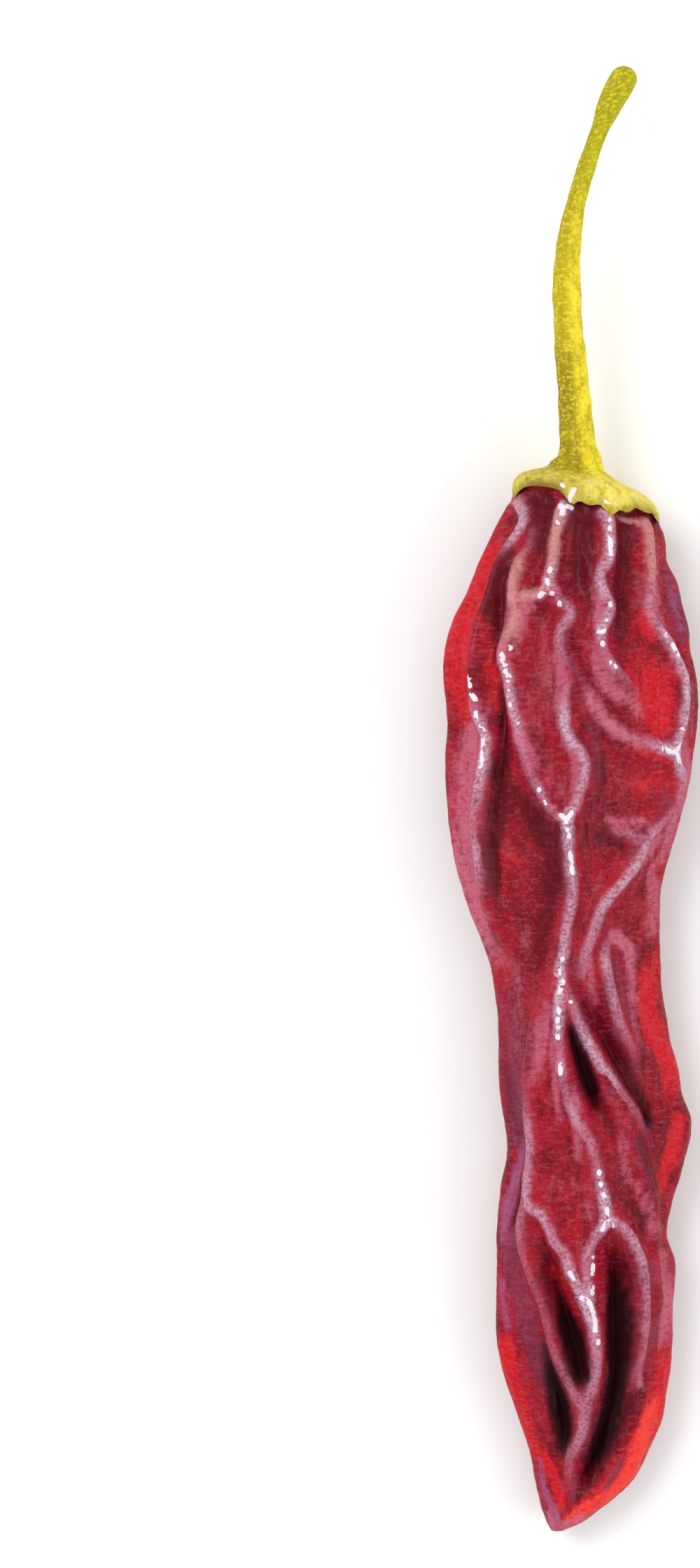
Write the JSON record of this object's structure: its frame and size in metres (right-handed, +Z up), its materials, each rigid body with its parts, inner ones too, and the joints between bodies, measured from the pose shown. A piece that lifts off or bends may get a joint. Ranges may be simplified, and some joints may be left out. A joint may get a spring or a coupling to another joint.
{
  "type": "dried chilli pod",
  "caption": "Whole dried red chilli lying on its side: a long, wrinkled, flattened pod with a crooked tip, a scalloped calyx cap and a thin curved stalk.",
  "frame": {"origin": "on the table, below the middle of the whole chilli's bounding box", "axes": "+Y along the chilli, from tip to stalk; +X to the right when it is seen from above with the stalk away; +Z up, out of the side with the long folds"},
  "size_m": [0.0284, 0.1678, 0.0166],
  "materials": {
    "dried_skin": "glossy, thin, leathery dried skin, crimson with maroon furrows and paler fold crests",
    "stalk_skin": "dull, woody, yellow-green stalk with fine lengthwise lines"
  },
  "bodies": {
    "root": {"pod": "dried_skin", "stalk": "stalk_skin"}
  },
  "joints": []
}
